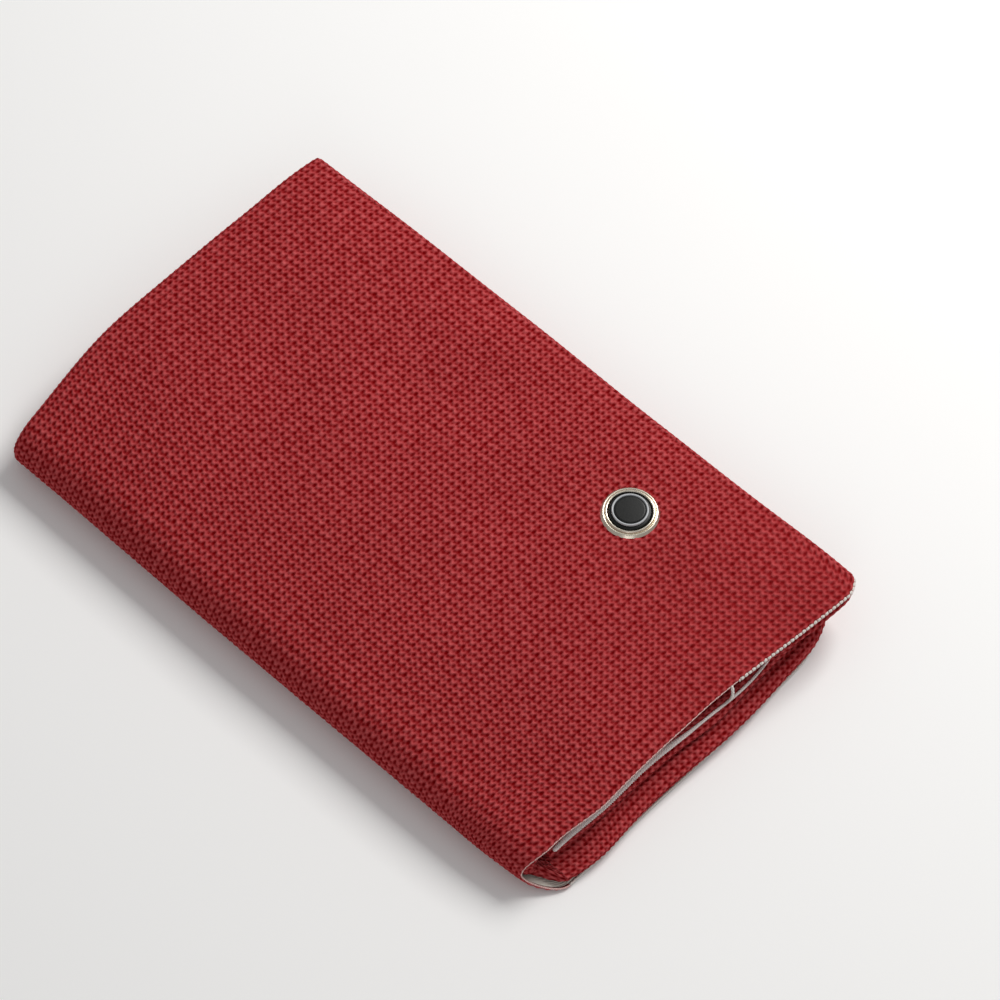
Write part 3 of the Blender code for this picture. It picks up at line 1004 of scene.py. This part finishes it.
@dataclass
class Cloth(SoftPart):
    """All woven and lining surfaces of the sheet."""

    step_r: float = Weave.PITCH_R / 4
    step_s: float = Weave.PITCH_S / 3
    relief: float = 0.00042
    join: float = 0.008
    sheets: list = field(default_factory=list)

    def surface(
        self,
        name: str,
        patch: SheetPatch,
        slot: Slot,
        top: bool,
        nodes: Sequence[str] = (),
        keep: Optional[Callable[[Array], Array]] = None,
    ) -> bpy.types.Object:
        """Make one dressed surface from a patch, hide the CAD nodes that it stands for, and bake its
        transform or attach it to the lower sections.

        Args:
            name: The piece's name.
            patch: The part of the sheet.
            slot: Its material; a lining's faces look the other way.
            top: Whether it is a top piece, whose transform is baked, or rides below it on the lower
                sections.
            nodes: The CAD nodes that it stands for.
            keep: Turns down the quads to leave out, from their middles.

        Returns:
            The object.
        """
        points = patch.points()
        kept = None if keep is None else keep((points[1:, 1:] + points[:-1, :-1]) / 2)
        thing = add_grid(name, points, patch.uv(), flip=slot is Slot.LINING, keep=kept)
        self.finishes.dress(thing, slot)
        if nodes:
            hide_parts(*nodes)
        self.move(thing, top)
        self.remember(thing, patch)
        return thing

    def remember(self, thing: bpy.types.Object, patch: SheetPatch) -> None:
        """Keep a sheet and its flat size, read from the patch's own lengths."""
        self.sheets.append((thing, (float(patch.r[-1] - patch.r[0]), float(patch.s[-1] - patch.s[0]))))

    def declare(self, trims: Sequence[bpy.types.Object]) -> None:
        """Does nothing; the threads and hems are not used."""

    def clear_of_eyelet(self, middle: Array) -> Array:
        """Quads of the top layer that don't lie in the eyelet's hole."""
        away = np.hypot(middle[..., 0] - self.shape.eyelet.x, middle[..., 1] - self.shape.eyelet.y)
        return (away > 0.0108) | (middle[..., 2] < self.shape.height - self.shape.layer * 2)

    def fold_lengths(self, turns: Sequence[float], steps: Sequence[float]) -> Array:
        """Lengths r between the given turns, with a step for each stretch."""
        stretches = [self.lengths(a, b, step)[:-1] for a, b, step in zip(turns, turns[1:], steps)]
        return np.append(np.concatenate(stretches), turns[-1])

    def outer(self, name: str, top: bool, s: Array, nodes: Sequence[str] = ()) -> bpy.types.Object:
        """An outer flap with its far fold; the top's goes round the spine as one sheet."""
        fold = self.top if top else self.lower
        r = self.lengths(fold.lip_start, fold.centre_start + self.join, self.step_r)
        shift = self.edges.outer_flap if top else self.edges.lower_flap
        patch = SheetPatch(fold, self.thirds, r, s, shift, self.relief)
        return self.surface(name, patch, Slot.FACE, top, nodes, self.clear_of_eyelet if top else None)

    def inner(self, name: str, top: bool, s: Array) -> bpy.types.Object:
        """A centre panel with its plump near fold and inner flap."""
        fold = self.top if top else self.lower
        start = fold.centre_start + self.join
        turns = (start, fold.near_start - 0.03, fold.inner_start + 0.02, fold.total)
        r = self.fold_lengths(turns, (self.step_r * 2 if top else 0.006, self.step_r, 0.012))
        shift = self.edges.top_roll if top else self.edges.lower_roll
        return self.surface(name, SheetPatch(fold, self.thirds, r, s, shift, self.relief), Slot.FACE, top)

    def lining(self, name: str, top: bool, s: Array, nodes: Sequence[str]) -> bpy.types.Object:
        """The lining behind the outer flap and far fold, over part of the fold in thirds."""
        fold = self.letter(top, inset=self.shape.face + 0.0002)
        r = self.lengths(fold.flap_start + 0.0004, fold.centre_start, 0.003)
        shift = self.edges.outer_flap if top else self.edges.lower_flap
        patch = SheetPatch(fold, self.thirds, r, s, shift)
        return self.surface(name, patch, Slot.LINING, top, nodes, self.clear_of_eyelet if top else None)

    def inner_lining(self, name: str, top: bool, s: Array) -> bpy.types.Object:
        """The lining within the centre panel, near fold and inner flap."""
        fold = self.letter(top, inset=self.shape.face + 0.0002)
        turns = (fold.centre_start, fold.near_start - 0.02, fold.inner_start + 0.01, fold.total)
        r = self.fold_lengths(turns, (0.008, 0.0012, 0.012))
        shift = self.edges.top_roll if top else self.edges.lower_roll
        return self.surface(name, SheetPatch(fold, self.thirds, r, s, shift), Slot.LINING, top)

    def build(self) -> list[bpy.types.Object]:
        """Make every surface; the bottom and middle sections meet at half of the crease."""
        thirds = self.thirds
        half = (thirds.crease_start + thirds.middle_start) / 2
        wrap = self.lengths(0.0006, thirds.bottom_start, self.step_s)
        bottom = self.lengths(thirds.bottom_start, half, self.step_s)
        middle = self.lengths(half, thirds.total, self.step_s)
        round_spine = self.lengths(0.0012, thirds.bottom_start, 0.0025)
        below = self.lengths(thirds.bottom_start, thirds.total - 0.001, 0.0025)
        return [
            self.outer("outer_wrap_face_cloth", True, wrap, ["top_face_cloth", "spine_face_cloth"]),
            self.inner("inner_wrap_face_cloth", True, wrap),
            self.outer("bottom_outer_face_cloth", False, bottom, ["lower_face_cloth"]),
            self.outer("middle_outer_face_cloth", False, middle),
            self.inner("bottom_inner_face_cloth", False, bottom),
            self.inner("middle_inner_face_cloth", False, middle),
            self.lining("wrap_lining", True, round_spine, ["top_lining", "spine_lining"]),
            self.inner_lining("inner_wrap_lining", True, round_spine),
            self.lining("lower_outer_lining", False, below, ["lower_lining"]),
            self.inner_lining("lower_inner_lining", False, below),
        ]


@dataclass
class Edging(SoftPart):
    """Overlock threads, turned hems and the tacking stitch."""

    bead: float = STITCH

    def along_edge(self, fold: LetterFold, r: float, s: Array, shift: Shift) -> Array:
        """Points at one length r, along lengths s, on the draped pack."""
        return SheetPatch(fold, self.thirds, np.array([r, r + 1e-4]), s, shift).points()[0]

    def along_side(self, fold: LetterFold, r: Array, s: float, shift: Shift) -> Array:
        """Points at one length s, along lengths r, on the draped pack."""
        return SheetPatch(fold, self.thirds, r, np.array([s, s + 1e-4]), shift).points()[:, 0]

    def beads(self, s: Array, low: Array, high: Array) -> Array:
        """Radius that swells at each stitch: low + (high - low) |sin| of the stitch's turn."""
        return low + (high - low) * np.abs(np.sin(math.pi * s / self.bead)) ** 0.7

    def wrap_thread(self, right: bool) -> bpy.types.Object:
        """The thread on the outer flap's cut edge: plump stitches on the right, thin round the spine."""
        change = self.thirds.spine_start * 0.38
        if right:
            s = self.lengths(0.0008, change, self.bead / 8)
        else:
            s = self.lengths(change, self.thirds.bottom_start, self.bead / 8)
        fold, r = self.letter(True, 0.0010), self.top.flap_start - 0.0004
        line = self.along_edge(fold, r, s, self.edges.outer_flap)
        line[:, 0] += 0.0002
        if right:
            radius = self.stitches(line, 0.00050, 0.00088)
            thing = tube("wrap_stitches", line, radius, np.full(len(s), 0.85))
            dress(thing, self.finishes.stitched)
            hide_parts("top_edge_thread")
            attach(thing, TOP_BODY)
        else:
            radius = self.stitches(line, 0.00030, 0.00040)
            thing = tube("wrap_thin_thread", line, radius, np.full(len(s), 0.9))
            # Its pale pink is painted highlight along the flap's cut edge.
            dress(thing, self.finishes.painted_light_change)
            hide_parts("spine_edge_thread")
            self.follow_spine(thing)
        return thing

    def stitches(self, line: Array, low: float, high: float) -> Array:
        """Radius along a line that swells at each stitch of its own length."""
        length = np.concatenate([[0.0], np.cumsum(np.linalg.norm(np.diff(line, axis=0), axis=1))])
        return self.beads(length, np.full(len(line), low), np.full(len(line), high))

    def lower_thread(self) -> bpy.types.Object:
        """The stitched thread on the bottom section's and crease's cut edge."""
        s = self.lengths(self.thirds.bottom_start, self.thirds.middle_start, self.bead / 6)
        fold = self.letter(False, 0.0009)
        line = self.along_edge(fold, self.lower.flap_start - 0.0004, s, self.edges.lower_flap)
        radius = self.beads(s, np.full(len(s), 0.00042), np.full(len(s), 0.0006))
        thing = tube("lower_edge_thread_outer", line, radius, np.full(len(s), 0.85))
        self.finishes.dress(thing, Slot.THREAD)
        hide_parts("lower_edge_thread")
        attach(thing, LOWER_BODY)
        return thing

    def middle_binding(self) -> bpy.types.Object:
        """The ribbed overlocked band on the middle section's cut edge, widest near the spine."""
        s = self.lengths(self.thirds.middle_start, self.thirds.total - 0.0015, 0.00028)
        fold = self.letter(False, 0.0002)
        line = self.along_edge(fold, self.lower.flap_start, s, self.edges.lower_flap)
        left = ease(-line[:, 1], -0.012, 0.034) * (1.0 - 0.8 * ease(-line[:, 1], 0.040, 0.078))
        width = 0.00062 + 0.00175 * left
        line[:, 0] += 0.0005
        line[:, 2] += 0.0002
        rib = 1.0 + 0.10 * np.cos(2 * math.pi * s / 0.0012)
        thing = tube("middle_edge_binding", line, width * rib, 0.00055 / width, around=16)
        dress(thing, self.finishes.binding)
        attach(thing, LOWER_BODY)
        return thing

    def inner_thread(self, top: bool) -> bpy.types.Object:
        """The stitched thread on the inner flap's cut edge, inside the fold."""
        fold = self.letter(top, 0.0009)
        if top:
            s = self.lengths(0.002, self.thirds.bottom_start, self.bead / 4)
            shift, name = self.edges.top_roll, "wrap_inner_thread"
            nodes = ["top_inner_thread", "spine_inner_thread"]
        else:
            s = self.lengths(self.thirds.bottom_start, self.thirds.total - 0.002, self.bead / 4)
            shift, name, nodes = self.edges.lower_roll, "lower_inner_thread_outer", ["lower_inner_thread"]
        line = self.along_edge(fold, fold.total - 0.0003, s, shift)
        radius = self.beads(s, np.full(len(s), 0.0004), np.full(len(s), 0.0006))
        thing = tube(name, line, radius, np.full(len(s), 0.85), around=8)
        self.finishes.dress(thing, Slot.THREAD)
        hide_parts(*nodes)
        self.move(thing, top)
        return thing

    def side_hem(self, top: bool) -> bpy.types.Object:
        """The turned hem on a long free edge, all the way round its letter fold."""
        fold = self.letter(top, 0.0009)
        r = self.lengths(fold.flap_start - 0.0002, fold.total - 0.001, 0.0012)
        near_turn = (r > fold.near_start - 0.02) & (r < fold.inner_start + 0.02)
        edges, end = self.edges, self.thirds.total - 0.001
        if top:
            name, node, s = "top_hem", "top_side_hem", 0.0010
            flap, near = edges.outer_flap, edges.top_roll
        else:
            name, node, s = "middle_hem", "lower_side_hem", end
            flap, near = edges.lower_flap, edges.lower_roll
        line, roll = self.along_side(fold, r, s, flap), self.along_side(fold, r, s, near)
        inner = (r > fold.centre_start + 0.05)[:, None]
        line = np.where(inner, roll, line)
        line[:, 1] += -0.0002 if top else 0.0002
        wave = 1.0 + 0.10 * np.sin(2 * math.pi * r / Weave.PITCH_R)
        radius = 0.00105 * wave * np.where(near_turn, 0.95, 1.0)
        thing = tube(name, line, radius, np.full(len(r), 1.0), around=12, across=1)
        self.finishes.dress(thing, Slot.HEM)
        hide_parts(node)
        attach(thing, TOP_BODY if top else LOWER_BODY)
        return thing

    def tack(self) -> bpy.types.Object:
        """The white stitch that ties the outer flap's edge to the middle section's."""
        low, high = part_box("tack_thread")
        y = (low.y + high.y) / 2
        place = self.thirds
        s_top = np.linspace(0.0, place.spine_start, 800)
        fold, r = self.letter(True, 0.0006), self.top.flap_start - 0.0002
        top = self.along_edge(fold, r, s_top, self.edges.outer_flap)
        s_low = np.linspace(place.middle_start, place.total, 800)
        fold, r = self.letter(False, 0.0002), self.lower.flap_start
        under = self.along_edge(fold, r, s_low, self.edges.lower_flap)
        start = top[np.argmin(np.abs(top[:, 1] - y - 0.0008))]
        end = under[np.argmin(np.abs(under[:, 1] - y + 0.0012))]
        t = np.linspace(0.0, 1.0, 60)[:, None]
        line = start + (end - start) * t
        line[:, 0] += 0.0011 * np.sin(math.pi * np.clip(t[:, 0], 0, 1)) + 0.0004
        radius = 0.00074 + 0.00008 * np.cos(2 * math.pi * t[:, 0] * 5)
        thing = tube("tack_stitch", line, radius, np.full(60, 0.8), around=12, across=1)
        self.finishes.dress(thing, Slot.THREAD)
        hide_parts("tack_thread")
        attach(thing, TOP_BODY)
        return thing

    def build(self) -> list[bpy.types.Object]:
        """Make every edge piece and note the sheet that it is sewn to."""
        sewn = [
            (self.wrap_thread(True), "outer_wrap_face_cloth"),
            (self.wrap_thread(False), "outer_wrap_face_cloth"),
            (self.lower_thread(), "bottom_outer_face_cloth"),
            (self.middle_binding(), "middle_outer_face_cloth"),
            (self.inner_thread(True), "inner_wrap_face_cloth"),
            (self.inner_thread(False), "bottom_inner_face_cloth"),
            (self.side_hem(True), "outer_wrap_face_cloth"),
            (self.side_hem(False), "middle_outer_face_cloth"),
            (self.tack(), "outer_wrap_face_cloth"),
        ]
        for thing, cloth in sewn:
            thing["sewn_to"] = cloth
        return [thing for thing, _ in sewn]


@dataclass
class Hardware:
    """The eyelet, its washer and the plug that fills it."""

    shape: PackShape
    finishes: Finishes

    def turn(self, name: str, profile: Sequence, slot: Slot, body: str, node: str) -> bpy.types.Object:
        """Turn a closed profile of (radius, height) in millimetres and put it on its body."""
        radius, height = np.array(profile, float).T / 1000.0
        thing = turned(name, self.shape.eyelet, radius, height)
        self.finishes.dress(thing, slot)
        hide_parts(node)
        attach(thing, body)
        return thing

    def eyelet(self) -> bpy.types.Object:
        """A rolled flange band, a groove and the raised rim of the barrel."""
        crest = np.linspace(math.radians(48), math.radians(150), 9)
        rim = np.linspace(math.radians(10), math.radians(190), 12)
        profile = [(9.4, -2.4), (10.1, -2.4), (10.15, -0.6)]
        profile += [(12.1, -0.5), (12.42, -0.42), (12.55, -0.2), (12.54, 0.0), (12.40, 0.16), (12.0, 0.52)]
        profile += [(11.28 + 0.62 * math.cos(a), 0.54 + 0.60 * math.sin(a)) for a in crest]
        profile += [(9.98 + 0.62 * math.cos(a), 1.08 + 0.70 * math.sin(a)) for a in rim]
        return self.turn("eyelet_flange", profile, Slot.NICKEL, TOP_BODY, "eyelet_ring")

    def washer(self) -> bpy.types.Object:
        """The flat washer under the lining, that the barrel is set over."""
        low = (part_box("eyelet_washer")[0].z - self.shape.height) * 1000.0
        profile = [
            (9.45, low), (11.6, low), (12.0, low + 0.2), (12.0, low + 0.5), (11.8, low + 0.68),
            (10.2, low + 0.7), (9.8, low + 0.4),
        ]
        return self.turn("eyelet_back_washer", profile, Slot.NICKEL, TOP_BODY, "eyelet_washer")

    def plug(self) -> list[bpy.types.Object]:
        """The collar in the bore, the low cap and the pale ring set into it."""
        collar = [(0.001, -3.0), (4.4, -3.0), (4.8, -2.6), (4.8, 0.0), (4.0, 0.2), (0.001, 0.2)]
        cap = [
            (0.001, 0.0), (8.6, 0.0), (9.0, 0.15), (9.02, 0.9), (8.95, 1.3), (8.75, 1.6),
            (8.45, 1.75), (7.75, 1.85), (7.0, 1.95), (6.92, 2.25), (6.7, 2.5), (6.25, 2.78),
            (6.05, 2.86), (5.8, 2.88), (0.001, 2.90),
        ]
        ring = [
            (6.9, 2.0), (7.7, 2.0), (7.78, 2.5), (7.68, 2.85), (7.45, 3.0), (7.2, 3.0),
            (7.02, 2.85), (6.92, 2.5),
        ]
        return [
            self.turn("plug_stem", collar, Slot.BLACK, PLUG_BODY, "plug_collar"),
            self.turn("plug_head", cap, Slot.BLACK, PLUG_BODY, "plug_cap"),
            self.turn("plug_pale_ring", ring, Slot.PALE, PLUG_BODY, "plug_ring"),
        ]

    def build(self) -> list[bpy.types.Object]:
        """Make the metal and plastic pieces."""
        return [self.eyelet(), self.washer(), *self.plug()]


def build_stage() -> None:
    """The pale floor, just below the lowest bumps of the weave."""
    floor_points = np.array([[[-3, -3, 0], [-3, 3, 0]], [[3, -3, 0], [3, 3, 0]]], float)
    floor_points[..., 2] = FLOOR_HEIGHT
    floor = add_grid("floor", floor_points, floor_points[..., :2])
    finish = Finish("pale_floor", roughness=0.9)
    finish.shader.inputs["Base Color"].default_value = (0.93, 0.93, 0.93, 1)
    floor.data.materials.append(finish.material)


def add_area(name: str, place: tuple, size: float, power: float, tint: tuple) -> None:
    """A square soft light that looks at the pack."""
    data = bpy.data.lights.new(name, "AREA")
    data.size = size
    data.energy = power
    data.color = tint
    light = bpy.data.objects.new(name, data)
    light.location = place
    light.rotation_euler = (-Vector(place)).to_track_quat("-Z", "Y").to_euler()
    bpy.context.scene.collection.objects.link(light)


def build_lights() -> None:
    """The room's even light, a soft key from the right and two weak cards in front."""
    add_area("key", (0.05, 1.15, 1.10), 0.7, 20.5, (1.0, 0.985, 0.96))
    add_area("fill", (0.9, -0.9, 1.1), 0.8, 0.7, (1.0, 1.0, 1.0))
    add_area("front_card", (0.75, -0.80, 0.62), 0.45, 0.8, (1.0, 0.99, 0.97))
    world = bpy.data.worlds.new("pale_room")
    world.use_nodes = True
    sky = world.node_tree.nodes["Background"]
    sky.inputs["Color"].default_value = (1, 1, 1, 1)
    sky.inputs["Strength"].default_value = ROOM_LIGHT
    bpy.context.scene.world = world
    bpy.context.scene.view_settings.view_transform = "Standard"


@dataclass(frozen=True)
class ViewPoint:
    """The camera's place, as angles and distance from a target."""

    azimuth: float = 43.4
    elevation: float = 58.8
    distance: float = 2.2
    lens: float = 190.5
    target: tuple = (0.0, 0.0, 0.015)
    shift_x: float = 0.0703
    shift_y: float = 0.0275

    def place(self) -> bpy.types.Object:
        """Create the scene's camera."""
        data = bpy.data.cameras.new("camera")
        data.lens = self.lens
        data.sensor_width = 36.0
        data.shift_x, data.shift_y = self.shift_x, self.shift_y
        camera = bpy.data.objects.new("camera", data)
        bpy.context.scene.collection.objects.link(camera)
        a, e = math.radians(self.azimuth), math.radians(self.elevation)
        back = Vector((math.sin(a) * math.cos(e), -math.cos(a) * math.cos(e), math.sin(e)))
        camera.location = Vector(self.target) + back * self.distance
        camera.rotation_euler = (-back).to_track_quat("-Z", "Y").to_euler()
        data.clip_start, data.clip_end = 0.05, 20.0
        bpy.context.scene.camera = camera
        return camera


def main() -> None:
    """Build the classes in order and report each piece."""
    logging.basicConfig(level=logging.INFO, format="%(message)s")
    shape = PackShape()
    ViewPoint().place()
    build_stage()
    build_lights()
    finishes = Finishes()
    cloth = Cloth(shape, finishes)
    sheets = cloth.build()
    trims = Edging(shape, finishes).build()
    cloth.declare(trims)
    for piece in [*sheets, *trims, *Hardware(shape, finishes).build()]:
        LOG.info("%s: %d faces", piece.name, len(piece.data.polygons))


if __name__ == "__main__":
    main()
